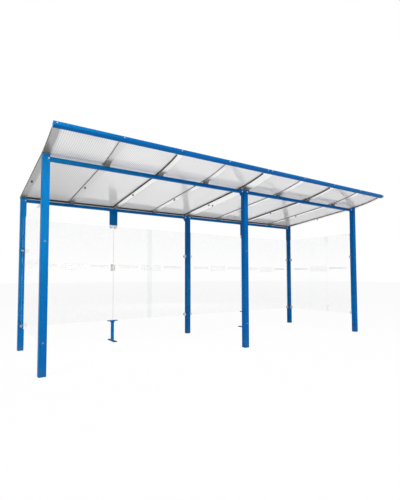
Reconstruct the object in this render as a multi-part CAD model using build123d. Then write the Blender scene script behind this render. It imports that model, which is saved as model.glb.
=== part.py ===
import os
from math import atan2, cos, sin, sqrt

from build123d import *

# Overall layout, millimetres
left_bay = 2500.0
right_post_inset = 70.0
rear_post_height = 1942.0
roof_fall = 147.0
post_row_depth = 1460.0
rear_overhang = 65.0

# Square tube posts and beams
post_size = 70.0
post_wall = 3.0
post_corner = 6.0
beam_size = 40.0
beam_wall = 3.0
beam_corner = 4.0

# Roof line: straight from the rear, then an arc that sweeps up to the rail
roof_rise = 35.0
curve_start = 100.0
curve_radius = 3060.0
curve_length = 609.0

# Roof sheets, glazing bars and their covers
panels_per_bay = 4
sheet_thickness = 16.0
sheet_side_gap = 1.0
seat_gap = 0.2
rib_width = 60.0
joint_rib_width = 70.0
end_rib_width = 64.0
end_web_inset = 18.0
rib_depth = 12.0
main_rib_depth = 22.0
rib_web = 6.0
rib_end_taper = 15.0
cover_thickness = 3.0

# Front rail, a folded channel
rail_wall = 3.0
rail_depth = 48.0
rail_bend = 5.0
rail_slack = 0.5
rail_joint_gap = 2.0
rail_end_inset = 2.0

# Rear closing strip
seal_thickness = 20.0

# Toughened glass panes
glass_thickness = 8.0
glass_bottom = 300.0
glass_head_gap = 230.0
glass_post_gap = 22.0
pane_joint_gap = 10.0
pane_joint_offset = 1210.0

# Clamps that hold the panes on the posts
clamp_length = 45.0
clamp_height = 45.0
clamp_thickness = 26.0
lower_clamp_level = 315.0
upper_clamp_level = 1270.0

# Hanging plate, its clamps and the joint plates between two panes
drop_width = 120.0
drop_flange = 6.0
drop_clamp_shift = 31.0
joint_plate_width = 60.0
joint_plate_height = 100.0
joint_plate_thickness = 4.0
joint_plate_level = 1070.0

# Stub foot under the pane joint
foot_base_width = 50.0
foot_base_depth = 250.0
foot_base_thickness = 12.0
foot_tube = 46.0
foot_flare = 78.0
foot_flare_height = 26.0
foot_top_length = 140.0
foot_top_width = 50.0
foot_top_thickness = 12.0

# Corner brackets under the beams at the centre posts
gusset_width = 45.0
gusset_height = 62.0
gusset_thickness = 30.0

# Derived sizes
front_post_height = rear_post_height + roof_fall
beam_under = rear_post_height - beam_size
glass_top = beam_under - glass_head_gap
drop_bottom = glass_top + glass_post_gap
right_bay = left_bay - right_post_inset
module_length = left_bay + post_size / 2
rib_pitch = module_length / panels_per_bay
left_joint_x = pane_joint_offset - left_bay
right_joint_x = pane_joint_offset
cover_top = sheet_thickness + cover_thickness
rail_end = module_length - rail_end_inset
roof_angle = atan2(roof_fall, post_row_depth)
arc_start_z = front_post_height + roof_rise - curve_start * sin(roof_angle) / cos(roof_angle)
arc_centre_y = curve_start + curve_radius * sin(roof_angle)
arc_centre_z = arc_start_z + curve_radius * cos(roof_angle)
end_angle = roof_angle + curve_length / curve_radius
rear_station = -(post_row_depth + rear_overhang - curve_start) / cos(roof_angle)


def roof_point(station, offset):
    # station runs forward along the sheet underside, offset stands square to it
    if station > 0:
        angle = roof_angle + station / curve_radius
        reach = curve_radius - offset
        return (arc_centre_y - reach * sin(angle), arc_centre_z - reach * cos(angle))
    along_y = curve_start - station * cos(roof_angle) + offset * sin(roof_angle)
    along_z = arc_start_z + station * sin(roof_angle) + offset * cos(roof_angle)
    return (along_y, along_z)


def roof_strip(x_low, x_high, low, high, front_station=curve_length):
    # a bar of even thickness that follows the roof line from the rear edge
    middle = front_station / 2
    lower_line = Line(roof_point(rear_station, low), roof_point(0, low))
    lower_arc = ThreePointArc(roof_point(0, low), roof_point(middle, low), roof_point(front_station, low))
    front_edge = Line(roof_point(front_station, low), roof_point(front_station, high))
    upper_arc = ThreePointArc(roof_point(front_station, high), roof_point(middle, high), roof_point(0, high))
    upper_line = Line(roof_point(0, high), roof_point(rear_station, high))
    rear_edge = Line(roof_point(rear_station, high), roof_point(rear_station, low))
    outline = make_face([lower_line, lower_arc, front_edge, upper_arc, upper_line, rear_edge])
    return extrude(Plane.YZ.offset(x_low) * outline, amount=x_high - x_low)


def square_tube(size, wall, corner, length):
    ring = RectangleRounded(size, size, corner)
    ring -= RectangleRounded(size - 2 * wall, size - 2 * wall, corner - wall)
    return extrude(ring, amount=length)


def make_post(x, y, height):
    # tube with a welded top plate, open at its foot
    tube = square_tube(post_size, post_wall, post_corner, height)
    inner = RectangleRounded(post_size - 2 * post_wall, post_size - 2 * post_wall, post_corner - post_wall)
    lid = Pos(0, 0, height - post_wall) * extrude(inner, amount=post_wall)
    return Pos(x, y, 0) * (tube + lid)


def make_beam(x_low, x_high, y, top):
    tube = square_tube(beam_size, beam_wall, beam_corner, x_high - x_low)
    return Pos(x_low, y, top - beam_size / 2) * Rot(0, 90, 0) * tube


def make_rib(x_low, x_high, web_low, depth):
    # flat flange under the sheets with a web standing up between them, its tongue held in the rail
    stop = curve_length - rail_depth
    tongue_low = max(x_low, rail_wall - rail_end)
    tongue_high = min(x_high, rail_end - rail_wall)
    flange = roof_strip(x_low, x_high, -depth, 0, stop)
    seat = rib_depth + rail_wall
    if depth > seat:
        # the deeper bars are cut on a slope to meet the rail's lower edge
        below = depth + rib_end_taper
        corners = [
            roof_point(stop - rib_end_taper, -depth),
            roof_point(stop, -seat),
            roof_point(stop + rib_end_taper, -seat),
            roof_point(stop + rib_end_taper, -below),
            roof_point(stop - rib_end_taper, -below),
        ]
        slope = make_face(Polyline(*corners, close=True))
        flange -= extrude(Plane.YZ.offset(x_low) * slope, amount=x_high - x_low)
    tongue = roof_strip(tongue_low, tongue_high, -rib_depth, 0, curve_length - rail_bend)
    web = roof_strip(web_low, web_low + rib_web, 0, sheet_thickness)
    return flange + tongue + web


def under_roof(y, depth):
    # point at this y on the line that lies depth below the sheet underside
    if y > curve_start:
        drop = depth / cos(roof_angle) + (y - curve_start) * sin(roof_angle) / cos(roof_angle)
        return (y, arc_start_z - drop)
    reach = curve_radius + depth
    return (y, arc_centre_z - sqrt(reach**2 - (y - arc_centre_y) ** 2))


def make_packer(x_low, x_high, y, base, depth, size=beam_size):
    # packer between a level beam and the rib, cut to the rib's line on top
    front = y - size / 2
    rear = y + size / 2
    sides = Polyline(under_roof(rear, depth), (rear, base), (front, base), under_roof(front, depth))
    if rear > curve_start:
        top = Line(under_roof(front, depth), under_roof(rear, depth))
    else:
        top = ThreePointArc(under_roof(front, depth), under_roof(y, depth), under_roof(rear, depth))
    outline = make_face([sides, top])
    return extrude(Plane.YZ.offset(x_low) * outline, amount=x_high - x_low)


def make_seal(x_low, x_high):
    half = seal_thickness / 2
    slope = sin(roof_angle) / cos(roof_angle)
    corners = [
        (post_row_depth - half, rear_post_height),
        (post_row_depth + half, rear_post_height),
        (post_row_depth + half, rear_post_height + roof_rise - half * slope),
        (post_row_depth - half, rear_post_height + roof_rise + half * slope),
    ]
    outline = make_face(Polyline(*corners, close=True))
    return extrude(Plane.YZ.offset(x_low) * outline, amount=x_high - x_low)


def make_rail(x_low, x_high, cap_low):
    # channel that caps the sheets, with an end plate on its outer end
    end_y, end_z = roof_point(curve_length, 0)
    backward = (0, cos(end_angle), -sin(end_angle))
    rail_plane = Plane(origin=(0, end_y, end_z), x_dir=backward, z_dir=(1, 0, 0))
    low = -rib_depth
    high = cover_top + rail_slack
    middle = (low + high) / 2
    inner_height = high - low
    outer_height = inner_height + 2 * rail_wall
    outer = Pos(rail_depth - rail_wall, middle) * RectangleRounded(2 * rail_depth, outer_height, rail_bend)
    inner = Pos(rail_depth, middle) * RectangleRounded(2 * rail_depth, inner_height, rail_bend - rail_wall)
    window = Pos(rail_depth / 2 - rail_wall, middle) * Rectangle(rail_depth, outer_height)
    filled = outer & window
    channel = extrude(rail_plane.offset(x_low) * (filled - inner), amount=x_high - x_low)
    cap = extrude(rail_plane.offset(cap_low) * filled, amount=rail_wall)
    return channel + cap


def make_pane(width):
    # pane on edge, centred on the origin in width and thickness
    return Pos(0, 0, (glass_bottom + glass_top) / 2) * Box(width, glass_thickness, glass_top - glass_bottom)


def make_clamp():
    # D shaped clamp body standing out along x from a post face at x = 0
    radius = clamp_height / 2
    body = Pos((clamp_length - radius) / 2, 0) * Rectangle(clamp_length - radius, clamp_height)
    body += Pos(clamp_length - radius, 0) * Circle(radius)
    solid = Rot(90, 0, 0) * extrude(body, amount=clamp_thickness / 2, both=True)
    slot_length = clamp_length - glass_post_gap
    slot = Pos(glass_post_gap + slot_length / 2, 0, 0) * Box(slot_length, glass_thickness, clamp_height)
    return solid - slot


def make_drop_plate():
    # flange against the beam's underside and a plate hanging from it
    flange = Pos(0, 0, beam_under - drop_flange / 2) * Box(drop_width, beam_size, drop_flange)
    plate_height = beam_under - drop_flange - drop_bottom
    plate = Pos(0, 0, drop_bottom + plate_height / 2) * Box(drop_width, glass_thickness, plate_height)
    return flange + plate


def make_foot():
    base = Pos(0, 0, foot_base_thickness / 2) * Box(foot_base_width, foot_base_depth, foot_base_thickness)
    top_under = glass_bottom - foot_top_thickness
    flare_start = top_under - foot_flare_height
    stem = Polyline(
        (0, foot_base_thickness),
        (foot_tube / 2, foot_base_thickness),
        (foot_tube / 2, flare_start),
        (foot_flare / 2, top_under),
        (0, top_under),
        close=True,
    )
    tube = revolve(Plane.XZ * make_face(stem), axis=Axis.Z)
    top = Pos(0, 0, top_under + foot_top_thickness / 2) * Box(foot_top_length, foot_top_width, foot_top_thickness)
    return base + tube + top


def make_gusset(y, top):
    corners = [
        (-post_size / 2, top),
        (-post_size / 2 - gusset_width, top),
        (-post_size / 2, top - gusset_height),
    ]
    outline = make_face(Polyline(*corners, close=True))
    return Pos(0, y, 0) * extrude(Plane.XZ * outline, amount=gusset_thickness / 2, both=True)


parts = {}

# Posts
post_columns = {"left": -left_bay, "centre": 0, "right": right_bay}
for side, x in post_columns.items():
    parts["post_front_" + side] = make_post(x, 0, front_post_height)
    parts["post_rear_" + side] = make_post(x, post_row_depth, rear_post_height)

# Beams between the posts
half_post = post_size / 2
beam_ends = {"left": (half_post - left_bay, -half_post), "right": (half_post, right_bay - half_post)}
for side, (low, high) in beam_ends.items():
    parts["beam_front_" + side] = make_beam(low, high, 0, front_post_height)
    parts["beam_rear_" + side] = make_beam(low, high, post_row_depth, rear_post_height)

# Glazing bars, listed from the left end as flange edges, web edge, depth and cover edges
bars = []
for start in (-module_length, 0):
    left_inset = end_web_inset if start < 0 else 0
    right_inset = 0 if start < 0 else end_web_inset
    for place in range(panels_per_bay + 1):
        centre = start + place * rib_pitch
        low = centre - rib_width / 2
        high = centre + rib_width / 2
        web_edge = centre - rib_web / 2
        cover_edges = (low, high)
        if place == 0:
            low = start
            high = start + (end_rib_width if left_inset else joint_rib_width)
            web_edge = low + left_inset
            cover_edges = (web_edge, high)
        if place == panels_per_bay:
            high = start + module_length
            low = high - (end_rib_width if right_inset else joint_rib_width)
            web_edge = high - right_inset - rib_web
            cover_edges = (low, high - right_inset)
        depth = rib_depth if place % 2 else main_rib_depth
        bars.append((low, high, web_edge, depth, cover_edges))

covers = []
front_packers = []
rear_packers = []
cover_end = curve_length - rail_bend
for number, (low, high, web_edge, depth, cover_edges) in enumerate(bars, start=1):
    parts["roof_rib_" + str(number)] = make_rib(low, high, web_edge, depth)
    covers.append(roof_strip(*cover_edges, sheet_thickness, cover_top, cover_end))
    if 1 < number < len(bars):
        front_packers.append(make_packer(low, high, 0, front_post_height, depth))
        rear_packers.append(make_packer(low, high, post_row_depth, rear_post_height, depth))

# Heads on the end posts; the right end bar lies outside its posts, on packers fixed to their heads
heads = []
end_packers = []
right_face = right_bay + half_post
for y, base in ((0, front_post_height), (post_row_depth, rear_post_height)):
    for x in (-left_bay, right_bay):
        heads.append(make_packer(x - half_post, x + half_post, y, base, main_rib_depth, post_size))
    end_packers.append(make_packer(right_face, module_length, y, base, main_rib_depth))

# Roof sheets and rear strips between neighbouring bars of one bay
seals = []
panel_number = 0
for left, right in zip(bars, bars[1:]):
    if left[1] >= right[0]:
        continue
    panel_number += 1
    sheet_low = left[2] + rib_web + sheet_side_gap
    sheet_high = right[2] - sheet_side_gap
    sheet = roof_strip(sheet_low, sheet_high, seat_gap, sheet_thickness - seat_gap)
    parts["roof_panel_" + str(panel_number)] = sheet
    seal_low = max(left[1], half_post - left_bay)
    seal_high = min(right[0], right_bay - half_post)
    seals.append(make_seal(seal_low, seal_high))

parts["rib_covers"] = Compound(covers)
parts["post_heads"] = Compound(heads)
parts["rib_packers_end"] = Compound(end_packers)
parts["rib_packers_front"] = Compound(front_packers)
parts["rib_packers_rear"] = Compound(rear_packers)
parts["rear_seal"] = Compound(seals)

# Front rail in two lengths
rail_gap = rail_joint_gap / 2
parts["rail_front_left"] = make_rail(rail_wall - rail_end, -rail_gap, -rail_end)
parts["rail_front_right"] = make_rail(rail_gap, rail_end - rail_wall, rail_end - rail_wall)

# Rear wall panes, two to a bay
post_edge = half_post + glass_post_gap
pane_edges = [
    (post_edge - left_bay, left_joint_x - pane_joint_gap / 2),
    (left_joint_x + pane_joint_gap / 2, -post_edge),
    (post_edge, right_joint_x - pane_joint_gap / 2),
    (right_joint_x + pane_joint_gap / 2, right_bay - post_edge),
]
for number, (low, high) in enumerate(pane_edges, start=1):
    parts["rear_glass_" + str(number)] = Pos((low + high) / 2, post_row_depth, 0) * make_pane(high - low)

# End wall panes
end_pane_width = post_row_depth - 2 * post_edge
for side, x in (("left", -left_bay), ("right", right_bay)):
    parts["end_glass_" + side] = Pos(x, post_row_depth / 2, 0) * Rot(0, 0, 90) * make_pane(end_pane_width)

# Clamps on the rear posts and on the end posts
clamps = []
for level in (lower_clamp_level, upper_clamp_level):
    for x in (-left_bay, 0):
        clamps.append(Pos(x + half_post, post_row_depth, level) * make_clamp())
    for x in (0, right_bay):
        clamps.append(Pos(x - half_post, post_row_depth, level) * Rot(0, 0, 180) * make_clamp())
    for x in (-left_bay, right_bay):
        clamps.append(Pos(x, half_post, level) * Rot(0, 0, 90) * make_clamp())
        clamps.append(Pos(x, post_row_depth - half_post, level) * Rot(0, 0, -90) * make_clamp())

# Hanging plates with their clamps, joint plates and stub feet at the pane joints
drop_plates = []
feet = []
joint_plates = []
joint_plate = Box(joint_plate_width, joint_plate_thickness, joint_plate_height)
joint_face = (glass_thickness + joint_plate_thickness) / 2
for x in (left_joint_x, right_joint_x):
    drop_plates.append(Pos(x, post_row_depth, 0) * make_drop_plate())
    feet.append(Pos(x, post_row_depth, 0) * make_foot())
    for shift in (-drop_clamp_shift, drop_clamp_shift):
        clamps.append(Pos(x + shift, post_row_depth, drop_bottom) * Rot(0, 90, 0) * make_clamp())
    for shift in (-joint_face, joint_face):
        joint_plates.append(Pos(x, post_row_depth + shift, joint_plate_level) * joint_plate)
parts["drop_plates"] = Compound(drop_plates)
parts["stub_feet"] = Compound(feet)
parts["glass_clamps"] = Compound(clamps)
parts["pane_joint_plates"] = Compound(joint_plates)

# Corner brackets on the left of the centre posts
gusset_front = make_gusset(0, front_post_height - beam_size)
gusset_rear = make_gusset(post_row_depth, beam_under)
parts["corner_brackets"] = Compound([gusset_front, gusset_rear])

# Centre the depth on the origin and write one file per piece
depth_box = Compound(list(parts.values())).bounding_box()
to_centre = Pos(0, -(depth_box.min.Y + depth_box.max.Y) / 2, 0)
os.makedirs("parts", exist_ok=True)
for name, shape in parts.items():
    export_step(to_centre * shape, "parts/" + name + ".step")
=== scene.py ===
import math

import bpy
import numpy as np
from mathutils import Matrix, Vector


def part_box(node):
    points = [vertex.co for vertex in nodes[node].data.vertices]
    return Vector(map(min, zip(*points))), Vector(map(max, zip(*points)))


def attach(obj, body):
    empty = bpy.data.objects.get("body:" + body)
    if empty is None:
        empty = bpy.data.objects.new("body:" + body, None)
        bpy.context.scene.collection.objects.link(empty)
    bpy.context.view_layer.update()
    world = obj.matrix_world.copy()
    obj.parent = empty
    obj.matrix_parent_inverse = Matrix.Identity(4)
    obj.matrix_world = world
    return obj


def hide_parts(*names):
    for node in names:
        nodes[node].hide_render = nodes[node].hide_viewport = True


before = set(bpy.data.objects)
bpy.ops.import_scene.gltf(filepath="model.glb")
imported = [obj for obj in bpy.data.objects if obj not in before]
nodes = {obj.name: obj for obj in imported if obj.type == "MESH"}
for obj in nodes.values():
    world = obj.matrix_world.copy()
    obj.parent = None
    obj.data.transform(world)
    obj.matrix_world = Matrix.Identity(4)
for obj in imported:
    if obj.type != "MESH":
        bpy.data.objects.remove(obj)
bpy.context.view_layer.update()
print("frame loaded with", len(nodes), "nodes")


def midOf(node):
    # middle of a node's box
    low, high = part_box(node)
    return (np.array(low) + np.array(high)) / 2


frontLine = midOf("post_front_left")[1]  # y of the front row of posts
rearLine = midOf("post_rear_left")[1]


# Surfaces are points with a list of face arrays, one array for each number of corners


def ringFaces(rows, count):
    # quads between neighbouring rings, each ring of count points closed on itself
    row = np.arange(rows - 1)[:, None] * count
    here = np.arange(count)[None]
    after = (here + 1) % count
    quads = np.stack([row + here, row + after, row + count + after, row + count + here], -1)
    return quads.reshape(-1, 4)


def turned(profile, count):
    # radius r and height h turned about z: x = r cos a, y = r sin a, z = h, closed flat at both ends
    profile = np.asarray(profile, float)
    angle = np.linspace(0, 2 * np.pi, count, endpoint=False)
    radius = profile[:, :1]
    height = np.repeat(profile[:, 1:], count, 1)
    points = np.stack([radius * np.cos(angle), radius * np.sin(angle), height], -1).reshape(-1, 3)
    around = np.arange(count)[None]
    last = (len(profile) - 1) * count
    return points, [ringFaces(len(profile), count), around[:, ::-1], last + around]


def repeated(faces, count, step):
    # the faces once for each of count copies, step points further on in each copy
    shift = (np.arange(count) * step)[:, None, None]
    return [(f[None] + shift).reshape(-1, f.shape[1]) for f in faces]


def copies(shape, places, axes):
    # the shape set at each place with its z along each axis: place + x side + y up + z axis
    points, faces = shape
    places = np.asarray(places, float)
    axes = np.broadcast_to(np.asarray(axes, float), places.shape)
    axes = axes / np.linalg.norm(axes, axis=1, keepdims=True)
    helper = np.where(np.abs(axes[:, 2:]) < 0.9, [[0.0, 0.0, 1.0]], [[1.0, 0.0, 0.0]])
    side = np.cross(helper, axes)
    side = side / np.linalg.norm(side, axis=1, keepdims=True)
    up = np.cross(axes, side)
    spread = np.einsum("pk,nkc->npc", points, np.stack([side, up, axes], 1)) + places[:, None]
    return spread.reshape(-1, 3), repeated(faces, len(places), len(points))


def prism(outline, low, high):
    # a closed outline in x and y carried along z from low to high, with flat ends
    outline = np.asarray(outline, float)
    count = len(outline)
    ends = np.repeat(np.array([low, high], float), count)[:, None]
    points = np.hstack([np.tile(outline, (2, 1)), ends])
    around = np.arange(count)[None]
    return points, [ringFaces(2, count), around[:, ::-1], count + around]


def joined(*shapes):
    # one list of points, each shape's faces shifted by the points before it
    points, faces, start = [], [], 0
    for shapePoints, shapeFaces in shapes:
        points.append(shapePoints)
        faces += [f + start for f in shapeFaces]
        start += len(shapePoints)
    return np.concatenate(points), faces


sharpAngle = math.radians(30)  # edges sharper than this stay crisp


def putPiece(name, shape, material):
    # mesh, finish, body and slot of one piece
    points, faces = shape
    mesh = bpy.data.meshes.new(name)
    mesh.from_pydata(points.tolist(), [], [corner for group in faces for corner in group.tolist()])
    mesh.polygons.foreach_set("use_smooth", np.ones(len(mesh.polygons), bool))
    mesh.set_sharp_from_angle(angle=sharpAngle)
    mesh.materials.append(material)
    mesh.update()
    piece = bpy.data.objects.new(name, mesh)
    bpy.context.scene.collection.objects.link(piece)
    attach(piece, "root")
    return piece


# Shader groups that more than one finish uses


def newGroup(name, inputs, outputs):
    group = bpy.data.node_groups.new(name, "ShaderNodeTree")
    for label, kind, value in inputs:
        socket = group.interface.new_socket(name=label, in_out="INPUT", socket_type=kind)
        if value is not None:
            socket.default_value = value
    for label, kind in outputs:
        group.interface.new_socket(name=label, in_out="OUTPUT", socket_type=kind)
    start = group.nodes.new("NodeGroupInput")
    end = group.nodes.new("NodeGroupOutput")
    return group, start, end


def addNode(tree, kind, settings=None, values=None):
    node = tree.nodes.new(kind)
    for key, value in (settings or {}).items():
        setattr(node, key, value)
    for key, value in (values or {}).items():
        node.inputs[key].default_value = value
    return node


def makeFilmGroup():
    # broad tone drift and a fine ripple, as on a baked powder coat
    group, start, end = newGroup(
        "coatRipple",
        [
            ("Vector", "NodeSocketVector", None),
            ("Drift Scale", "NodeSocketFloat", 2.5),
            ("Ripple Scale", "NodeSocketFloat", 420.0),
        ],
        [("Drift", "NodeSocketFloat"), ("Ripple", "NodeSocketFloat")],
    )
    drift = addNode(group, "ShaderNodeTexNoise", values={"Detail": 3.0, "Roughness": 0.55})
    ripple = addNode(group, "ShaderNodeTexNoise", values={"Detail": 1.0, "Roughness": 0.4})
    for node, scale in ((drift, "Drift Scale"), (ripple, "Ripple Scale")):
        group.links.new(start.outputs["Vector"], node.inputs["Vector"])
        group.links.new(start.outputs[scale], node.inputs["Scale"])
    group.links.new(drift.outputs["Fac"], end.inputs["Drift"])
    group.links.new(ripple.outputs["Fac"], end.inputs["Ripple"])
    return group


def makeDustAndShadeGroup():
    # share of settled dust on the paint and of painted shade on the panes: full at the given low level,
    # none at the high one, broken up by noise
    group, start, end = newGroup(
        "dustAndShade",
        [
            ("Vector", "NodeSocketVector", None),
            ("Low", "NodeSocketFloat", 0.0),
            ("High", "NodeSocketFloat", 0.3),
            ("Amount", "NodeSocketFloat", 0.3),
        ],
        [("Mask", "NodeSocketFloat")],
    )
    split = addNode(group, "ShaderNodeSeparateXYZ")
    falling = {"To Min": 1.0, "To Max": 0.0}
    level = addNode(group, "ShaderNodeMapRange", {"interpolation_type": "SMOOTHSTEP"}, falling)
    noise = addNode(group, "ShaderNodeTexNoise", values={"Scale": 14.0, "Detail": 5.0, "Roughness": 0.6})
    broken = {"From Min": 0.3, "From Max": 0.7, "To Min": 0.35, "To Max": 1.0}
    patch = addNode(group, "ShaderNodeMapRange", values=broken)
    both = addNode(group, "ShaderNodeMath", {"operation": "MULTIPLY"})
    scaled = addNode(group, "ShaderNodeMath", {"operation": "MULTIPLY"})
    group.links.new(start.outputs["Vector"], split.inputs[0])
    group.links.new(start.outputs["Vector"], noise.inputs["Vector"])
    group.links.new(split.outputs["Z"], level.inputs["Value"])
    group.links.new(start.outputs["Low"], level.inputs["From Min"])
    group.links.new(start.outputs["High"], level.inputs["From Max"])
    group.links.new(noise.outputs["Fac"], patch.inputs["Value"])
    group.links.new(level.outputs["Result"], both.inputs[0])
    group.links.new(patch.outputs["Result"], both.inputs[1])
    group.links.new(both.outputs[0], scaled.inputs[0])
    group.links.new(start.outputs["Amount"], scaled.inputs[1])
    group.links.new(scaled.outputs[0], end.inputs["Mask"])
    return group


def makeDrawnGroup():
    # streaks drawn out along one axis, as on extruded or brushed metal
    group, start, end = newGroup(
        "drawnStreaks",
        [("Vector", "NodeSocketVector", None), ("Stretch", "NodeSocketVector", (300.0, 3.0, 300.0))],
        [("Streak", "NodeSocketFloat")],
    )
    stretch = addNode(group, "ShaderNodeVectorMath", {"operation": "MULTIPLY"})
    noise = addNode(group, "ShaderNodeTexNoise", values={"Scale": 1.0, "Detail": 4.0, "Roughness": 0.6})
    group.links.new(start.outputs["Vector"], stretch.inputs[0])
    group.links.new(start.outputs["Stretch"], stretch.inputs[1])
    group.links.new(stretch.outputs[0], noise.inputs["Vector"])
    group.links.new(noise.outputs["Fac"], end.inputs["Streak"])
    return group


filmGroup = makeFilmGroup()
dustAndShadeGroup = makeDustAndShadeGroup()
drawnGroup = makeDrawnGroup()


# Finishes


class Finish:
    def __init__(self, name):
        self.material = bpy.data.materials.new(name)
        self.material.use_nodes = True
        self.tree = self.material.node_tree
        self.shader = self.tree.nodes["Principled BSDF"]
        self.coords = addNode(self.tree, "ShaderNodeTexCoord").outputs["Object"]

    def plain(self, **values):
        # values that are the same all over, straight on the shader's sockets
        for key, value in values.items():
            self.shader.inputs[key.replace("_", " ")].default_value = value

    def use(self, group, **values):
        # a shader group placed on object coordinates
        node = addNode(self.tree, "ShaderNodeGroup", {"node_tree": group})
        for key, value in values.items():
            node.inputs[key.replace("_", " ")].default_value = value
        self.tree.links.new(self.coords, node.inputs["Vector"])
        return node

    def span(self, source, low, high, sourceLow=0.3, sourceHigh=0.7):
        # a value stretched from its own range to low and high
        node = addNode(self.tree, "ShaderNodeMapRange")
        ends = {"From Min": sourceLow, "From Max": sourceHigh, "To Min": low, "To Max": high}
        for key, value in ends.items():
            node.inputs[key].default_value = value
        self.tree.links.new(source, node.inputs["Value"])
        return node.outputs["Result"]

    def blend(self, factor, first, second):
        # first colour at factor 0, second at 1
        node = addNode(self.tree, "ShaderNodeMix", {"data_type": "RGBA"})
        for socket, value in ((node.inputs[6], first), (node.inputs[7], second)):
            if isinstance(value, tuple):
                socket.default_value = (*value, 1.0)
            else:
                self.tree.links.new(value, socket)
        self.tree.links.new(factor, node.inputs[0])
        return node.outputs[2]

    def feed(self, source, socket):
        self.tree.links.new(source, self.shader.inputs[socket])

    def bump(self, height, strength, distance):
        node = addNode(self.tree, "ShaderNodeBump", values={"Strength": strength, "Distance": distance})
        self.tree.links.new(height, node.inputs["Height"])
        self.feed(node.outputs["Normal"], "Normal")


paintSettings = {
    "deep": (0.002, 0.106, 0.348),
    "light": (0.002, 0.122, 0.392),
    "dust": (0.16, 0.22, 0.30),
    "dustTop": 0.16,
    "dustAmount": 0.12,
    "rough": (0.30, 0.40),
    "bump": (0.12, 0.0006),
    "gloss": 0.03,
    # dark grey painted into rough glossy reflections of the paint
    "paintedReflection": (0.07, 0.07, 0.085),
}


def makeBluePaint():
    finish = Finish("bluePaint")
    film = finish.use(filmGroup)
    dust = finish.use(dustAndShadeGroup, High=paintSettings["dustTop"], Amount=paintSettings["dustAmount"])
    tone = finish.span(film.outputs["Drift"], 0.0, 1.0)
    colour = finish.blend(tone, paintSettings["deep"], paintSettings["light"])
    dusty = finish.blend(dust.outputs["Mask"], colour, paintSettings["dust"])
    # painted reflection: where the sheets and bars mirror the paint in rough gloss, a dark grey is painted
    # in place of the blue, as painted shade
    path = addNode(finish.tree, "ShaderNodeLightPath")
    paintedReflection = addNode(finish.tree, "ShaderNodeMath", {"operation": "GREATER_THAN"})
    finish.tree.links.new(path.outputs["Is Glossy Ray"], paintedReflection.inputs[0])
    finish.tree.links.new(path.outputs["Is Singular Ray"], paintedReflection.inputs[1])
    finish.feed(finish.blend(paintedReflection.outputs[0], dusty, paintSettings["paintedReflection"]), "Base Color")
    finish.feed(finish.span(film.outputs["Drift"], *paintSettings["rough"]), "Roughness")
    finish.bump(film.outputs["Ripple"], *paintSettings["bump"])
    finish.plain(Specular_IOR_Level=paintSettings["gloss"])
    return finish.material


sheetSettings = {
    "milk": (0.965, 0.957, 0.957),
    "clear": (0.99, 0.982, 0.982),
    # grey of the painted shade along the webs
    "web": (0.75, 0.75, 0.75),
    "webCore": 0.08,
    "webFade": 0.22,
    "lowerSkin": 0.1,
    "driftScale": 1.6,
    "rippleScale": 160.0,
    "passing": 0.06,
    "rough": (0.06, 0.12),
    "ior": 1.6,
}


def makeRoofSheet():
    # the cell coordinate u has a web at every whole number, and v is near 0 in the lower skin
    finish = Finish("opalSheet")
    scales = {"Drift_Scale": sheetSettings["driftScale"], "Ripple_Scale": sheetSettings["rippleScale"]}
    film = finish.use(filmGroup, **scales)
    tone = finish.span(film.outputs["Drift"], 0.0, 1.0)
    cells = addNode(finish.tree, "ShaderNodeUVMap", {"uv_map": "cells"})
    split = addNode(finish.tree, "ShaderNodeSeparateXYZ")
    fromWeb = addNode(finish.tree, "ShaderNodeMath", {"operation": "PINGPONG"})
    fromWeb.inputs[1].default_value = 0.5  # gives the distance to the nearest web
    lower = addNode(finish.tree, "ShaderNodeMath", {"operation": "LESS_THAN"})
    lower.inputs[1].default_value = sheetSettings["lowerSkin"]
    paintedWebShade = addNode(finish.tree, "ShaderNodeMath", {"operation": "MULTIPLY"})
    finish.tree.links.new(cells.outputs[0], split.inputs[0])
    finish.tree.links.new(split.outputs[0], fromWeb.inputs[0])
    finish.tree.links.new(split.outputs[1], lower.inputs[0])
    near = finish.span(fromWeb.outputs[0], 1.0, 0.0, sheetSettings["webCore"], sheetSettings["webFade"])
    finish.tree.links.new(near, paintedWebShade.inputs[0])
    finish.tree.links.new(lower.outputs[0], paintedWebShade.inputs[1])
    body = finish.blend(tone, sheetSettings["milk"], sheetSettings["clear"])
    # painted shade: the lower skin is painted darker along each web, for the webs' shade seen through the
    # skin
    finish.feed(finish.blend(paintedWebShade.outputs[0], body, sheetSettings["web"]), "Base Color")
    finish.feed(finish.span(film.outputs["Ripple"], *sheetSettings["rough"]), "Roughness")
    finish.plain(Transmission_Weight=sheetSettings["passing"], IOR=sheetSettings["ior"])
    return finish.material


glassSettings = {
    "middle": (0.985, 0.987, 0.986),
    # grey of the painted shade at the pane's bottom and top edges
    "edge": (0.928, 0.932, 0.932),
    "bottom": 0.30,
    "top": 1.672,
    "ior": 1.5,
}


def makeClearGlass():
    # painted shade: the pane is painted greyer towards its bottom and top edges
    finish = Finish("clearGlass")
    middle = (glassSettings["bottom"] + glassSettings["top"]) / 2
    low = finish.use(dustAndShadeGroup, Low=glassSettings["bottom"], High=middle, Amount=1.0)
    high = finish.use(dustAndShadeGroup, Low=glassSettings["top"], High=middle, Amount=1.0)
    colour = finish.blend(low.outputs["Mask"], glassSettings["middle"], glassSettings["edge"])
    finish.feed(finish.blend(high.outputs["Mask"], colour, glassSettings["edge"]), "Base Color")
    finish.plain(Roughness=0.0, IOR=glassSettings["ior"], Transmission_Weight=1.0)
    return finish.material


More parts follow.
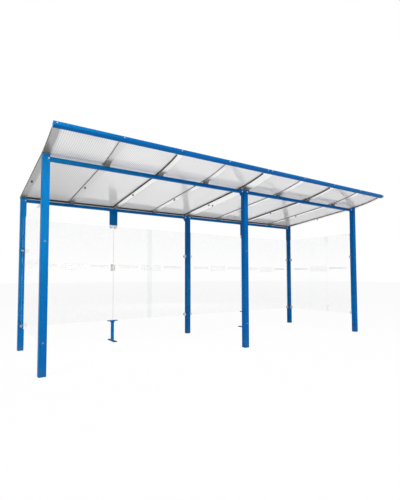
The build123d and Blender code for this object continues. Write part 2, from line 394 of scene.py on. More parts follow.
metalSettings = {
    "bar": {
        "dark": (0.96, 0.96, 0.96),
        "light": (0.99, 0.99, 0.99),
        "rough": (0.30, 0.36),
        "stretch": (260.0, 2.0, 260.0),
    },
    "clamp": {
        "dark": (0.62, 0.62, 0.61),
        "light": (0.76, 0.76, 0.75),
        "rough": (0.28, 0.4),
        "stretch": (60.0, 60.0, 900.0),
    },
    "screw": {
        "dark": (0.70, 0.70, 0.69),
        "light": (0.86, 0.86, 0.85),
        "rough": (0.2, 0.3),
        "stretch": (500.0, 500.0, 500.0),
    },
    "darkScrew": {
        "dark": (0.025, 0.025, 0.026),
        "light": (0.05, 0.05, 0.052),
        "rough": (0.35, 0.5),
        "stretch": (500.0, 500.0, 500.0),
    },
}
streakBump = (0.05, 0.0003)  # strength and depth


def makeMetal(name, settings):
    finish = Finish(name)
    drawn = finish.use(drawnGroup, Stretch=settings["stretch"])
    tone = finish.span(drawn.outputs["Streak"], 0.0, 1.0)
    finish.feed(finish.blend(tone, settings["dark"], settings["light"]), "Base Color")
    finish.feed(finish.span(drawn.outputs["Streak"], *settings["rough"]), "Roughness")
    finish.bump(drawn.outputs["Streak"], *streakBump)
    finish.plain(Metallic=1.0)
    return finish.material


plainSettings = {
    "plate": {
        "dark": (0.56, 0.56, 0.57),
        "light": (0.66, 0.66, 0.67),
        "rough": (0.4, 0.5),
        "gloss": 0.4,
        "ripple": 700.0,
    },
    "rubber": {
        "dark": (0.038, 0.034, 0.030),
        "light": (0.062, 0.056, 0.048),
        "rough": (0.6, 0.75),
        "gloss": 0.3,
        "ripple": 900.0,
    },
    "frost": {
        "dark": (0.96, 0.96, 0.96),
        "light": (0.99, 0.99, 0.99),
        "rough": (0.3, 0.4),
        "gloss": 0.3,
        "ripple": 1500.0,
        "passing": 0.6,
    },
    "packer": {
        "dark": (0.12, 0.12, 0.12),
        "light": (0.17, 0.17, 0.17),
        "rough": (0.45, 0.6),
        "gloss": 0.4,
        "ripple": 600.0,
    },
    "cap": {
        "dark": (0.10, 0.16, 0.24),
        "light": (0.16, 0.23, 0.32),
        "rough": (0.35, 0.45),
        "gloss": 0.4,
        "ripple": 900.0,
    },
}
plainDrift = 9.0  # patches of tone in a metre
grainBump = (0.15, 0.0004)  # strength and depth


def makePlain(name, settings):
    finish = Finish(name)
    film = finish.use(filmGroup, Drift_Scale=plainDrift, Ripple_Scale=settings["ripple"])
    tone = finish.span(film.outputs["Drift"], 0.0, 1.0)
    finish.feed(finish.blend(tone, settings["dark"], settings["light"]), "Base Color")
    finish.feed(finish.span(film.outputs["Ripple"], *settings["rough"]), "Roughness")
    finish.bump(film.outputs["Ripple"], *grainBump)
    finish.plain(Specular_IOR_Level=settings["gloss"], Transmission_Weight=settings.get("passing", 0.0))
    return finish.material


bluePaint = makeBluePaint()
roofSheet = makeRoofSheet()
clearGlass = makeClearGlass()
barMetal = makeMetal("barMetal", metalSettings["bar"])
clampSteel = makeMetal("clampSteel", metalSettings["clamp"])
screwSteel = makeMetal("screwSteel", metalSettings["screw"])
darkScrew = makeMetal("darkScrew", metalSettings["darkScrew"])
plateGrey = makePlain("plateGrey", plainSettings["plate"])
darkRubber = makePlain("darkRubber", plainSettings["rubber"])
frostFilm = makePlain("frostFilm", plainSettings["frost"])
capPlastic = makePlain("capPlastic", plainSettings["cap"])
packerGrey = makePlain("packerGrey", plainSettings["packer"])


def finishFor(name):
    # finish of a CAD node, by what the node is
    if name.startswith("roof_panel"):
        return roofSheet
    if name.startswith("roof_rib") or name in ("rib_covers", "rib_packers_end"):
        return barMetal
    if name.startswith("rib_packers"):
        return packerGrey
    if "glass_clamps" in name:
        return clampSteel
    if "glass" in name:
        return clearGlass
    if name == "pane_joint_plates":
        return plateGrey
    if name == "rear_seal":
        return darkRubber
    return bluePaint


for name, node in nodes.items():
    node.data.materials.clear()
    node.data.materials.append(finishFor(name))
    if finishFor(name) is clearGlass:
        node.visible_shadow = False  # clear panes throw no shadow worth showing
print("finishes set")


# Roof line, the same as in the part: straight from the rear, then an arc up to the rail
roofLine = {
    "fall": 0.147,
    "rise": 0.035,
    "curveStart": 0.100,
    "curveRadius": 3.060,
    "curveLength": 0.609,
    "rearOverhang": 0.065,
    "frontHeight": 2.089,
    "arcSteps": 15,
}
rowDepth = rearLine - frontLine
roofAngle = math.atan2(roofLine["fall"], rowDepth)
arcStartZ = roofLine["frontHeight"] + roofLine["rise"] - roofLine["curveStart"] * math.tan(roofAngle)
arcCentreY = roofLine["curveStart"] + roofLine["curveRadius"] * math.sin(roofAngle)
arcCentreZ = arcStartZ + roofLine["curveRadius"] * math.cos(roofAngle)
endAngle = roofAngle + roofLine["curveLength"] / roofLine["curveRadius"]
rearStation = -(rowDepth + roofLine["rearOverhang"] - roofLine["curveStart"]) / math.cos(roofAngle)


def roofPoints(x, station, offset):
    # station runs forward on the sheet's underside, offset stands square to it
    # behind station 0 the line is straight, ahead of it the line turns by station over radius
    x, station, offset = np.broadcast_arrays(*(np.asarray(v, float) for v in (x, station, offset)))
    turn = roofAngle + np.maximum(station, 0) / roofLine["curveRadius"]
    reach = roofLine["curveRadius"] - offset
    back = np.minimum(station, 0)
    y = arcCentreY - reach * np.sin(turn) - back * math.cos(roofAngle)
    z = arcCentreZ - reach * np.cos(turn) + back * math.sin(roofAngle)
    return np.stack([x, frontLine + y, z], -1)


def roofStations(front):
    # the rear edge, the middle of the straight, then even steps along the arc
    return np.concatenate([[rearStation, rearStation / 2], np.linspace(0, front, roofLine["arcSteps"])])


def alongRoof(loops, front):
    # loops of four corners (x, offset) carried along the roof line, one tube of quads for each loop
    stations = roofStations(front)
    loops = np.asarray(loops, float)
    corners = roofPoints(loops[:, None, :, 0], stations[None, :, None], loops[:, None, :, 1])
    quads = repeated([ringFaces(len(stations), 4)], len(loops), len(stations) * 4)[0]
    return corners.reshape(-1, 3), quads, len(stations)


def rectangle(xLow, xHigh, low, high):
    # corners in order round a section
    return [(xLow, low), (xHigh, low), (xHigh, high), (xLow, high)]


def roofBars(rectangles, front):
    # closed bars of rectangular section that follow the roof line
    points, quads, rows = alongRoof(rectangles, front)
    start = (np.arange(len(rectangles)) * rows * 4)[:, None]
    around = np.arange(4)[None]
    return points, [np.concatenate([quads, start + around[:, ::-1], start + (rows - 1) * 4 + around])]


# Multiwall roof sheets with open cells, in place of the plain panels
cellSettings = {
    "sheets": 8,
    "pitch": 0.020,
    "skin": 0.0007,
    "web": 0.0006,
    "underside": 0.0002,
    "thickness": 0.0156,
}


def multiwallSheet(xLow, xHigh):
    # section: one outer loop and a loop round each cell, joined at both ends by the skins and webs
    low = cellSettings["underside"]
    high = low + cellSettings["thickness"]
    cellCount = int(round((xHigh - xLow) / cellSettings["pitch"]))
    webs = np.linspace(xLow + cellSettings["web"] / 2, xHigh - cellSettings["web"] / 2, cellCount + 1)
    cellLow = webs[:-1] + cellSettings["web"] / 2
    cellHigh = webs[1:] - cellSettings["web"] / 2
    cellFloor = np.full(cellCount, low + cellSettings["skin"])
    cellTop = np.full(cellCount, high - cellSettings["skin"])
    # cell loops run the other way round, so that their faces look into the air of the cell
    around = ((cellLow, cellFloor), (cellLow, cellTop), (cellHigh, cellTop), (cellHigh, cellFloor))
    cells = np.stack([np.stack(corner, -1) for corner in around], 1)
    loops = np.concatenate([np.array([rectangle(xLow, xHigh, low, high)]), cells])
    points, quads, rows = alongRoof(loops, roofLine["curveLength"])
    base = (np.arange(cellCount + 1) * rows * 4)[:, None] + np.arange(4)[None]
    faces = [quads]
    for end, flip in ((0, -1), ((rows - 1) * 4, 1)):
        ring = base + end
        outer, cell = ring[0], ring[1:]
        under = np.concatenate([outer[:2], cell[::-1, [3, 0]].ravel()])
        over = np.concatenate([outer[2:], cell[:, [1, 2]].ravel()])
        walls = np.stack([cell[:-1, 3], cell[1:, 0], cell[1:, 1], cell[:-1, 2]], 1)
        leftSide = [outer[0], cell[0, 0], cell[0, 1], outer[3]]
        rightSide = [cell[-1, 3], outer[1], outer[2], cell[-1, 2]]
        sides = np.array([leftSide, rightSide])
        faces += [under[None, ::flip], over[None, ::flip], walls[:, ::flip], sides[:, ::flip]]
    # cell coordinate along u, share of the thickness along v
    across = np.repeat(loops[:, None, :, 0], rows, 1).ravel()
    depth = np.repeat(loops[:, None, :, 1], rows, 1).ravel()
    cellPlace = np.stack([(across - webs[0]) / (webs[1] - webs[0]), (depth - low) / (high - low)], -1)
    return (points, faces), cellPlace


def addCellMap(piece, cellPlace):
    # every face corner takes the cell coordinates of its point
    mesh = piece.data
    corner = np.zeros(len(mesh.loops), np.int32)
    mesh.loops.foreach_get("vertex_index", corner)
    layer = mesh.uv_layers.new(name="cells")
    layer.data.foreach_set("uv", cellPlace[corner].astype(np.float32).ravel())


for number in range(1, cellSettings["sheets"] + 1):
    node = "roof_panel_%d" % number
    low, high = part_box(node)
    shape, cellPlace = multiwallSheet(low.x, high.x)
    sheet = putPiece("roofSheet%d" % number, shape, roofSheet)
    addCellMap(sheet, cellPlace)
    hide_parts(node)
print("roof sheets built")


# Glazing bars as the part has them, deep and shallow by turns, a pair side by side at the middle
barSettings = {
    "count": 10,
    "shallow": (2, 4, 7, 9),
    "middlePair": (5, 6),
    "deepDepth": 0.022,
    "shallowDepth": 0.012,
}
barNumbers = range(1, barSettings["count"] + 1)


def barEdges(number):
    low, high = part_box("roof_rib_%d" % number)
    return low.x, high.x


def barMiddles():
    return np.array([sum(barEdges(number)) / 2 for number in barNumbers])


# Rubber lips along both sides of every glazing bar
lipSettings = {
    "thickness": 0.0012,
    "deepLip": 0.019,
    "shallowLip": 0.008,
    "outerLip": 0.011,
    "seat": 0.0001,
    "deepStop": 0.063,
    "shallowStop": 0.048,
}


def makeBarLips():
    # thin strips on both sides of each bar, from just under the sheet down over part of the bar's depth
    lips = {"deep": [], "shallow": []}
    thickness, top = lipSettings["thickness"], -lipSettings["seat"]
    leftOfPair, rightOfPair = barSettings["middlePair"]
    for number in barNumbers:
        xLow, xHigh = barEdges(number)
        kind = "shallow" if number in barSettings["shallow"] else "deep"
        under = -lipSettings[kind + "Lip"]
        if number == barSettings["count"]:
            under = -lipSettings["outerLip"]
        if number != rightOfPair:
            lips[kind].append(rectangle(xLow - thickness, xLow, under, top))
        if number != leftOfPair:
            lips[kind].append(rectangle(xHigh, xHigh + thickness, under, top))
    front = roofLine["curveLength"]
    return joined(*(roofBars(lips[kind], front - lipSettings[kind + "Stop"]) for kind in lips))


putPiece("barLips", makeBarLips(), darkRubber)


# Light metal trims along the top and bottom of the rear seal
trimSettings = {
    "thickness": 0.0012,
    "bottomHeight": 0.006,
    "topHeight": 0.003,
    "topGap": 0.0002,
    "shortest": 0.1,
}


def makeSealTrims():
    # flat strips between neighbouring bars, x from bar to bar, square to the seal's front face
    edges = [barEdges(number) for number in barNumbers]
    gaps = [(left[1], right[0]) for left, right in zip(edges, edges[1:])]
    spans = np.array([gap for gap in gaps if gap[1] - gap[0] > trimSettings["shortest"]])
    low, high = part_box("rear_seal")
    back, front = low.y, low.y - trimSettings["thickness"]
    heights = (
        (low.z, low.z + trimSettings["bottomHeight"]),
        (high.z - trimSettings["topHeight"], high.z - trimSettings["topGap"]),
    )
    around = np.arange(4)[None]
    faces = np.concatenate([ringFaces(2, 4)[:, ::-1], around, 4 + around[:, ::-1]])
    stripPoints = 8  # four corners at each end
    strips = []
    for bottom, top in heights:
        section = [(front, bottom), (back, bottom), (back, top), (front, top)]
        ends = np.array([[(x, y, z) for y, z in section] for span in spans for x in span])
        strips.append((ends.reshape(-1, 3), repeated([faces], len(spans), stripPoints)))
    return joined(*strips)


putPiece("sealTrims", makeSealTrims(), barMetal)


# Heads of screws and bolts as radius and height, turned about their own axis
panHead = [
    (0.0062, -0.001), (0.0066, 0.0), (0.0068, 0.0012), (0.0060, 0.0030),
    (0.0042, 0.0042), (0.0022, 0.0042), (0.0020, 0.0026),
]
washerHead = [
    (0.0088, -0.001), (0.0090, 0.0), (0.0088, 0.0013), (0.0064, 0.0016),
    (0.0062, 0.0046), (0.0050, 0.0058), (0.0030, 0.0058), (0.0027, 0.0036),
]
broadHead = [
    (0.0125, -0.001), (0.0130, 0.0), (0.0128, 0.0018), (0.0098, 0.0026),
    (0.0092, 0.0098), (0.0074, 0.0122), (0.0030, 0.0122), (0.0026, 0.0096),
]
capHead = [
    (0.0095, -0.001), (0.0098, 0.0), (0.0096, 0.0018),
    (0.0084, 0.0034), (0.0058, 0.0046), (0.0020, 0.0050),
]


railScrewSettings = {"webLow": -0.012, "webHeight": 0.0315, "level": 0.55, "wall": 0.003, "count": 20}


def makeRailScrews():
    # one screw through the rail's front web at every glazing bar, level as a share of the web's height
    height = railScrewSettings["webLow"] + railScrewSettings["level"] * railScrewSettings["webHeight"]
    inside = roofPoints(barMiddles(), roofLine["curveLength"], height)
    forward = np.array([0.0, -math.cos(endAngle), math.sin(endAngle)])
    face = inside + forward * railScrewSettings["wall"]
    return copies(turned(panHead, railScrewSettings["count"]), face, forward)


putPiece("railScrews", makeRailScrews(), screwSteel)


barScrewSettings = {"fromFront": 0.79, "count": 16}


def makeBarScrews():
    # one dark screw under each glazing bar near the middle of its span
    shallow = np.isin(barNumbers, barSettings["shallow"])
    depth = np.where(shallow, barSettings["shallowDepth"], barSettings["deepDepth"])
    station = (roofLine["curveStart"] - barScrewSettings["fromFront"]) / math.cos(roofAngle)
    down = np.array([0.0, -math.sin(roofAngle), -math.cos(roofAngle)])
    places = roofPoints(barMiddles(), station, -depth)
    return copies(turned(broadHead, barScrewSettings["count"]), places, down)


putPiece("barScrews", makeBarScrews(), darkScrew)


beamBoltSettings = {"onPost": 0.012, "onBeam": 0.016, "count": 18}


def makeBeamBolts():
    # each beam is bolted through the post on its left and, at its right end, through its own front face
    places = []
    for row in ("front", "rear"):
        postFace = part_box("post_%s_centre" % row)[0].y
        for side in ("left", "right"):
            low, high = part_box("beam_%s_%s" % (row, side))
            level = (low.z + high.z) / 2
            places.append((low.x - beamBoltSettings["onPost"], postFace, level))
            places.append((high.x - beamBoltSettings["onBeam"], low.y, level))
    return copies(turned(washerHead, beamBoltSettings["count"]), places, (0.0, -1.0, 0.0))


putPiece("beamBolts", makeBeamBolts(), screwSteel)


clampLevels = (0.315, 1.270)  # heights of the clamps on the posts
postCapSettings = {"count": 20}


def makePostCaps():
    # caps over the through bolts, on the faces opposite the clamps
    places, axes = [], []
    for level in clampLevels:
        for side in ("left", "centre", "right"):
            low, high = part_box("post_front_" + side)
            places.append(((low.x + high.x) / 2, low.y, level))
            axes.append((0.0, -1.0, 0.0))
        for side, outward in (("left", -1.0), ("right", 1.0)):
            low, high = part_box("post_rear_" + side)
            places.append((low.x if outward < 0 else high.x, (low.y + high.y) / 2, level))
            axes.append((outward, 0.0, 0.0))
            places.append(((low.x + high.x) / 2, high.y, level))
            axes.append((0.0, 1.0, 0.0))
    return copies(turned(capHead, postCapSettings["count"]), places, axes)


putPiece("postCaps", makePostCaps(), capPlastic)


clampSettings = {
    "reach": 0.026,
    "half": 0.013,
    "length": 0.045,
    "height": 0.045,
    "hangShift": 0.031,
    "lipStart": 0.0225,
    "lipOver": 0.0018,
    "lipFrom": 0.0041,
    "lipTo": 0.0072,
    "lipPoints": 17,
    "screwCount": 16,
}


def jointX():
    # middle of the gap between the two panes of each bay
    pairs = (("rear_glass_1", "rear_glass_2"), ("rear_glass_3", "rear_glass_4"))
    return [(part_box(left)[1].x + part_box(right)[0].x) / 2 for left, right in pairs]


def clampPlaces():
    # seat of each clamp, direction away from it and direction square to the pane
    seats, away, square = [], [], []
    for level in clampLevels:
        for side, signs in (("left", (1,)), ("centre", (-1, 1)), ("right", (-1,))):
            low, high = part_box("post_rear_" + side)
            for sign in signs:
                seats.append((high.x if sign > 0 else low.x, rearLine, level))
                away.append((sign, 0.0, 0.0))
                square.append((0.0, 1.0, 0.0))
        for side in ("left", "right"):
            for row, sign in (("front", 1), ("rear", -1)):
                low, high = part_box("post_%s_%s" % (row, side))
                seats.append(((low.x + high.x) / 2, high.y if sign > 0 else low.y, level))
                away.append((0.0, sign, 0.0))
                square.append((1.0, 0.0, 0.0))
    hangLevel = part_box("drop_plates")[0].z
    for x in jointX():
        for shift in (-clampSettings["hangShift"], clampSettings["hangShift"]):
            seats.append((x + shift, rearLine, hangLevel))
            away.append((0.0, 0.0, -1.0))
            square.append((0.0, 1.0, 0.0))
    return np.array(seats, float), np.array(away, float), np.array(square, float)


def makeClampScrews():
    # heads on both sides of each clamp: seat, then reach away from it, then half the clamp to each side
    seats, away, square = clampPlaces()
    centre = seats + away * clampSettings["reach"]
    half = clampSettings["half"]
    places = np.concatenate([centre + square * half, centre - square * half])
    head = turned(panHead, clampSettings["screwCount"])
    return copies(head, places, np.concatenate([square, -square]))


def makeClampLips():
    # rubber liners, D-shaped like the clamp and a little larger, one on each side of the pane
    seats, away, square = clampPlaces()
    radius = clampSettings["height"] / 2 + clampSettings["lipOver"]
    centre = clampSettings["length"] - clampSettings["height"] / 2
    angle = np.linspace(-np.pi / 2, np.pi / 2, clampSettings["lipPoints"])
    arc = np.stack([centre + radius * np.cos(angle), radius * np.sin(angle)], -1)
    start = clampSettings["lipStart"]
    outline = np.concatenate([[(start, -radius)], arc, [(start, radius)]])
    across = np.cross(square, away)
    shapes = []
    for sign in (-1.0, 1.0):
        low, high = sorted((sign * clampSettings["lipFrom"], sign * clampSettings["lipTo"]))
        points, polygons = prism(outline, low, high)
        spread = np.einsum("pk,nkc->npc", points, np.stack([away, across, square], 1)) + seats[:, None]
        shapes.append((spread.reshape(-1, 3), repeated(polygons, len(seats), len(points))))
    return joined(*shapes)


putPiece("clampScrews", makeClampScrews(), screwSteel)
putPiece("clampLips", makeClampLips(), darkRubber)


# Rubber pads on both ends of each stub foot's base and a dark bolt at the top of each hanging plate
padSettings = {
    "plateWidth": 0.050,
    "plateHeight": 0.012,
    "length": 0.024,
    "over": 0.0012,
    "boltLevel": 1.886,
    "boltCount": 16,
}


def makeFootPads():
    # a rectangle carried up a little higher than the base plate, set over each of its ends
    low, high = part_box("stub_feet")
    over, length = padSettings["over"], padSettings["length"]
    half = padSettings["plateWidth"] / 2 + over
    points, faces = prism(rectangle(-half, half, 0.0, length), 0.0, padSettings["plateHeight"] + over)
    pads = []
    for x in jointX():
        for start, way in ((low.y - over, 1.0), (high.y + over, -1.0)):
            placed = np.stack([x + way * points[:, 0], start + way * points[:, 1], points[:, 2]], -1)
            pads.append((placed, faces))
    return joined(*pads)


def makePlateBolts():
    # one head on the front of each hanging plate
    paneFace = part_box("rear_glass_1")[0].y
    places = [(x, paneFace, padSettings["boltLevel"]) for x in jointX()]
    return copies(turned(panHead, padSettings["boltCount"]), places, (0.0, -1.0, 0.0))


putPiece("footPads", makeFootPads(), darkRubber)
putPiece("plateBolts", makePlateBolts(), darkScrew)
print("fixings built")


# Frosted marks on the panes so that they are seen: a line pair, a block of short dashes, a line pair
bandSettings = {
    "level": 1.085,
    "lineRise": 0.010,
    "lineHeight": 0.007,
    "lineShares": ((0.06, 0.32), (0.68, 0.94)),
    "blockShare": (0.36, 0.64),
    "blockDrop": 0.010,
    "blockRows": 4,
    "rowPitch": 0.025,
    "dashesPerRow": 8,
    "dashFill": 0.70,
    "thickness": 0.0003,
    "gap": 0.0001,
    "rounding": 0.0030,
    "cornerPoints": 4,
}


def roundedBar(width, height, radius):
    # outline of a rectangle with round corners: four quarter circles in turn
    angle = np.linspace(0, np.pi / 2, bandSettings["cornerPoints"])
    corners = np.array([(1, 1), (-1, 1), (-1, -1), (1, -1)])
    centres = corners * (np.array([width, height]) / 2 - radius)
    turns = angle[None] + np.arange(4)[:, None] * np.pi / 2
    points = centres[:, None] + radius * np.stack([np.cos(turns), np.sin(turns)], -1)
    return points.reshape(-1, 2)


def bandMarks():
    # middle and width of each mark as shares of the pane's width, with its level
    marks = []
    level = bandSettings["level"]
    for first, last in bandSettings["lineShares"]:
        for rise in (-bandSettings["lineRise"], bandSettings["lineRise"]):
            marks.append(((first + last) / 2, last - first, level + rise))
    first, last = bandSettings["blockShare"]
    pitch = (last - first) / bandSettings["dashesPerRow"]
    middleRow = (bandSettings["blockRows"] - 1) / 2
    for row in range(bandSettings["blockRows"]):
        rise = (row - middleRow) * bandSettings["rowPitch"] - bandSettings["blockDrop"]
        for dash in range(bandSettings["dashesPerRow"]):
            middle = first + (dash + 0.5) * pitch
            marks.append((middle, pitch * bandSettings["dashFill"], level + rise))
    return marks


# Each pane with the axis that its width runs along
bandPanes = {
    "rear_glass_1": 0,
    "rear_glass_2": 0,
    "rear_glass_3": 0,
    "rear_glass_4": 0,
    "end_glass_left": 1,
    "end_glass_right": 1,
}


def makeBand():
    # each mark is a rounded bar that stands a little off the inner face of its pane
    shapes = []
    bottom, top = bandSettings["gap"], bandSettings["gap"] + bandSettings["thickness"]
    for pane, axis in bandPanes.items():
        low, high = (np.array(corner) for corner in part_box(pane))
        paneWidth = high[axis] - low[axis]
        for middle, width, level in bandMarks():
            outline = roundedBar(width * paneWidth, bandSettings["lineHeight"], bandSettings["rounding"])
            points, faces = prism(outline, bottom, top)
            along = low[axis] + middle * paneWidth
            if axis == 0:  # inner face of a rear pane looks along -y
                placed = np.stack([along + points[:, 0], low[1] - points[:, 2], level + points[:, 1]], -1)
            elif low[0] < 0:  # inner face of the left end pane looks along +x
                placed = np.stack([high[0] + points[:, 2], along + points[:, 0], level + points[:, 1]], -1)
            else:  # inner face of the right end pane looks along -x
                placed = np.stack([low[0] - points[:, 2], along - points[:, 0], level + points[:, 1]], -1)
            shapes.append((placed, faces))
    return joined(*shapes)


putPiece("glassBand", makeBand(), frostFilm)
print("frosted band built")


# Floor, light and camera


def seenRays(tree):
    # 1 for rays from the camera and for those seen in metal or through glass
    path = addNode(tree, "ShaderNodeLightPath")
    first = addNode(tree, "ShaderNodeMath", {"operation": "MAXIMUM"})
    both = addNode(tree, "ShaderNodeMath", {"operation": "MAXIMUM"})
    tree.links.new(path.outputs["Is Camera Ray"], first.inputs[0])
    tree.links.new(path.outputs["Is Glossy Ray"], first.inputs[1])
    tree.links.new(first.outputs[0], both.inputs[0])
    tree.links.new(path.outputs["Is Transmission Ray"], both.inputs[1])
    return both.outputs[0]


floorSettings = {
    "half": 60.0,
    "squares": 8,
    "level": -0.0005,
    "colour": (0.95, 0.95, 0.95),
    "rough": 0.8,
    "white": 0.95,
}


def makeFloor():
    # a flat grid of two parameters, wide enough to reach the horizon
    squares, half = floorSettings["squares"], floorSettings["half"]
    step = np.linspace(-half, half, squares + 1)
    x, y = np.meshgrid(step, step)
    points = np.stack([x, y, np.full_like(x, floorSettings["level"])], -1)
    first = np.arange(squares)[:, None] * (squares + 1) + np.arange(squares)[None]
    after = first + squares + 1
    quads = np.stack([first, first + 1, after + 1, after], -1).reshape(-1, 4)
    mesh = bpy.data.meshes.new("studioFloor")
    mesh.from_pydata(points.reshape(-1, 3).tolist(), [], quads.tolist())
    floor = bpy.data.objects.new("studioFloor", mesh)
    bpy.context.scene.collection.objects.link(floor)
    material = bpy.data.materials.new("paleFloor")
    material.use_nodes = True
    tree = material.node_tree
    shader = tree.nodes["Principled BSDF"]
    shader.inputs["Base Color"].default_value = (*floorSettings["colour"], 1.0)
    shader.inputs["Roughness"].default_value = floorSettings["rough"]
    shader.inputs["Specular IOR Level"].default_value = 0.0
    glow = addNode(tree, "ShaderNodeEmission", values={"Color": (1.0,) * 4, "Strength": 1.0})
    mix = addNode(tree, "ShaderNodeMixShader")
    share = addNode(tree, "ShaderNodeMath", {"operation": "MULTIPLY"})
    share.inputs[1].default_value = floorSettings["white"]
    tree.links.new(seenRays(tree), share.inputs[0])
    tree.links.new(share.outputs[0], mix.inputs[0])
    tree.links.new(shader.outputs[0], mix.inputs[1])
    tree.links.new(glow.outputs[0], mix.inputs[2])
    tree.links.new(mix.outputs[0], tree.nodes["Material Output"].inputs["Surface"])
    mesh.materials.append(material)


# Grey card under the roof's left end, seen only in glossy surfaces: a glowing sheet that paints a grey
# reflection into the bars at the roof's left end
cardSettings = {
    "low": (-2.8, -0.95),
    "high": (-1.3, 1.75),
    "level": 1.9,
    "grey": 0.42,
    "fade": (-2.15, -1.44),
}


def makeCard():
    # one flat rectangle in x and y whose grey fades out towards +x
    (xLow, yLow), (xHigh, yHigh) = cardSettings["low"], cardSettings["high"]
    corners = np.array(rectangle(xLow, xHigh, yLow, yHigh)) + np.array([0.0, frontLine])
    points = np.hstack([corners, np.full((4, 1), cardSettings["level"])])
    mesh = bpy.data.meshes.new("greyCard")
    mesh.from_pydata(points.tolist(), [], [(0, 1, 2, 3)])
    card = bpy.data.objects.new("greyCard", mesh)
    bpy.context.scene.collection.objects.link(card)
    for ray in ("camera", "diffuse", "transmission", "volume_scatter", "shadow"):
        setattr(card, "visible_" + ray, False)
    material = bpy.data.materials.new("cardGrey")
    material.use_nodes = True
    tree = material.node_tree
    tree.nodes.remove(tree.nodes["Principled BSDF"])
    coords = addNode(tree, "ShaderNodeTexCoord")
    split = addNode(tree, "ShaderNodeSeparateXYZ")
    fade = addNode(tree, "ShaderNodeMapRange", {"interpolation_type": "SMOOTHSTEP"})
    for end, place in zip(("From Min", "From Max"), cardSettings["fade"]):
        fade.inputs[end].default_value = place
    grey = addNode(tree, "ShaderNodeEmission", values={"Strength": cardSettings["grey"]})
    clear = addNode(tree, "ShaderNodeBsdfTransparent")
    mix = addNode(tree, "ShaderNodeMixShader")
    tree.links.new(coords.outputs["Object"], split.inputs[0])
    tree.links.new(split.outputs["X"], fade.inputs["Value"])
    tree.links.new(fade.outputs["Result"], mix.inputs[0])
    tree.links.new(grey.outputs[0], mix.inputs[1])
    tree.links.new(clear.outputs[0], mix.inputs[2])
    tree.links.new(mix.outputs[0], tree.nodes["Material Output"].inputs["Surface"])
    mesh.materials.append(material)


worldSettings = {"light": (1.0, 0.975, 0.972), "strength": 0.24}


def makeWorld():
    world = bpy.data.worlds.new("studioWorld")
    world.use_nodes = True
    tree = world.node_tree
    light = tree.nodes["Background"]
    light.inputs["Color"].default_value = (*worldSettings["light"], 1.0)
    light.inputs["Strength"].default_value = worldSettings["strength"]
    white = addNode(tree, "ShaderNodeBackground", values={"Color": (1.0,) * 4, "Strength": 1.0})
    mix = addNode(tree, "ShaderNodeMixShader")
    tree.links.new(seenRays(tree), mix.inputs[0])
    tree.links.new(light.outputs[0], mix.inputs[1])
    tree.links.new(white.outputs[0], mix.inputs[2])
    tree.links.new(mix.outputs[0], tree.nodes["World Output"].inputs["Surface"])
    bpy.context.scene.world = world


# Softboxes round the shelter and two low lamps for the light that the ground throws up
lampSettings = {
    "keySoftbox": {
        "place": (-3.7, -4.2, 2.6),
        "target": (-2.8, -0.3, 1.7),
        "size": 1.6,
        "power": 10.8,
        "colour": (1.0, 1.0, 0.56),
        "spread": 40.0,
    },
    "fillSoftbox": {
        "place": (1.0, -7.5, 5.5),
        "target": (0.5, 0.0, 1.2),
        "size": 3.0,
        "power": 381.0,
        "colour": (1.0, 1.0, 1.0),
        "spread": 180.0,
    },
    "sideSoftbox": {
        "place": (-6.5, -3.0, 6.0),
        "target": (-1.0, -0.6, 1.6),
        "size": 2.5,
        "power": 269.0,
        "colour": (1.0, 1.0, 1.0),
        "spread": 180.0,
    },
    "backSoftbox": {
        "place": (3.0, 7.0, 2.6),
        "target": (0.0, 0.3, 1.1),
        "size": 3.5,
        "power": 170.0,
        "colour": (1.0, 1.0, 1.0),
        "spread": 180.0,
    },
    "frontBounce": {
        "place": (-1.8, -1.2, 0.02),
        "target": (-1.8, -1.1999, 2.0),
        "size": 2.4,
        "power": 3.0,
        "colour": (1.0, 1.0, 1.0),
        "spread": 120.0,
    },
    "rearBounce": {
        "place": (0.4, 0.7, 0.02),
        "target": (0.4, 0.7001, 2.0),
        "size": 3.6,
        "power": 4.4,
        "colour": (1.0, 1.0, 1.0),
        "spread": 120.0,
    },
}


def turnTo(place, target):
    # rotation whose -z looks from place to target and whose y is nearest to up
    back = np.array(place, float) - np.array(target, float)
    back = back / np.linalg.norm(back)
    right = np.cross([0.0, 0.0, 1.0], back)
    right = right / np.linalg.norm(right)
    up = np.cross(back, right)
    return Matrix(np.stack([right, up, back], 1).tolist())


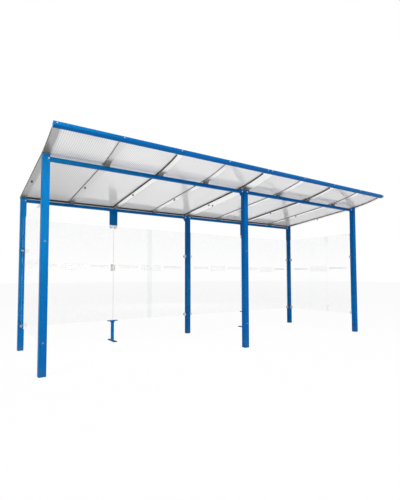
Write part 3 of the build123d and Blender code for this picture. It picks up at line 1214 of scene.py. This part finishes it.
def makeLamps():
    for name, settings in lampSettings.items():
        lamp = bpy.data.lights.new(name, "AREA")
        lamp.shape = "DISK"
        lamp.size = settings["size"]
        lamp.energy = settings["power"]
        lamp.color = settings["colour"]
        lamp.spread = math.radians(settings["spread"])
        lampObject = bpy.data.objects.new(name, lamp)
        turn = turnTo(settings["place"], settings["target"]).to_4x4()
        lampObject.matrix_world = Matrix.Translation(settings["place"]) @ turn
        for ray in ("camera", "glossy", "transmission"):
            setattr(lampObject, "visible_" + ray, False)
        bpy.context.scene.collection.objects.link(lampObject)


cameraSettings = {
    "fromFrontLine": (-3.15277, -3.66319, 0.92576),
    "yaw": 0.589134,
    "pitch": 0.048866,
    "roll": -0.001977,
    "focalPixels": 359.47,
    "centrePixels": (201.076, 259.537),
    "imageSize": (400, 500),
    "sensor": 36.0,
    "clipEnd": 500.0,
}


def makeCamera():
    # yaw turns right from +y, pitch lifts and roll tilts; the focal length is in pixels of the image
    yaw, pitch, roll = (cameraSettings[key] for key in ("yaw", "pitch", "roll"))
    forward = np.array([math.sin(yaw) * math.cos(pitch), math.cos(yaw) * math.cos(pitch), math.sin(pitch)])
    level = np.array([math.cos(yaw), -math.sin(yaw), 0.0])
    above = np.cross(level, forward)
    right = math.cos(roll) * level + math.sin(roll) * above
    up = -math.sin(roll) * level + math.cos(roll) * above
    width, height = cameraSettings["imageSize"]
    longSide = max(width, height)
    camera = bpy.data.cameras.new("photoCamera")
    camera.sensor_width = cameraSettings["sensor"]
    camera.lens = cameraSettings["focalPixels"] * cameraSettings["sensor"] / longSide
    camera.shift_x = (width / 2 - cameraSettings["centrePixels"][0]) / longSide
    camera.shift_y = (cameraSettings["centrePixels"][1] - height / 2) / longSide
    camera.clip_end = cameraSettings["clipEnd"]
    cameraObject = bpy.data.objects.new("photoCamera", camera)
    x, y, z = cameraSettings["fromFrontLine"]
    turn = Matrix(np.stack([right, up, -forward], 1).tolist()).to_4x4()
    cameraObject.matrix_world = Matrix.Translation((x, y + frontLine, z)) @ turn
    bpy.context.scene.collection.objects.link(cameraObject)
    bpy.context.scene.camera = cameraObject


makeFloor()
makeCard()
makeWorld()
makeLamps()
makeCamera()
bpy.context.scene.view_settings.view_transform = "Standard"
print("floor, light and camera set")
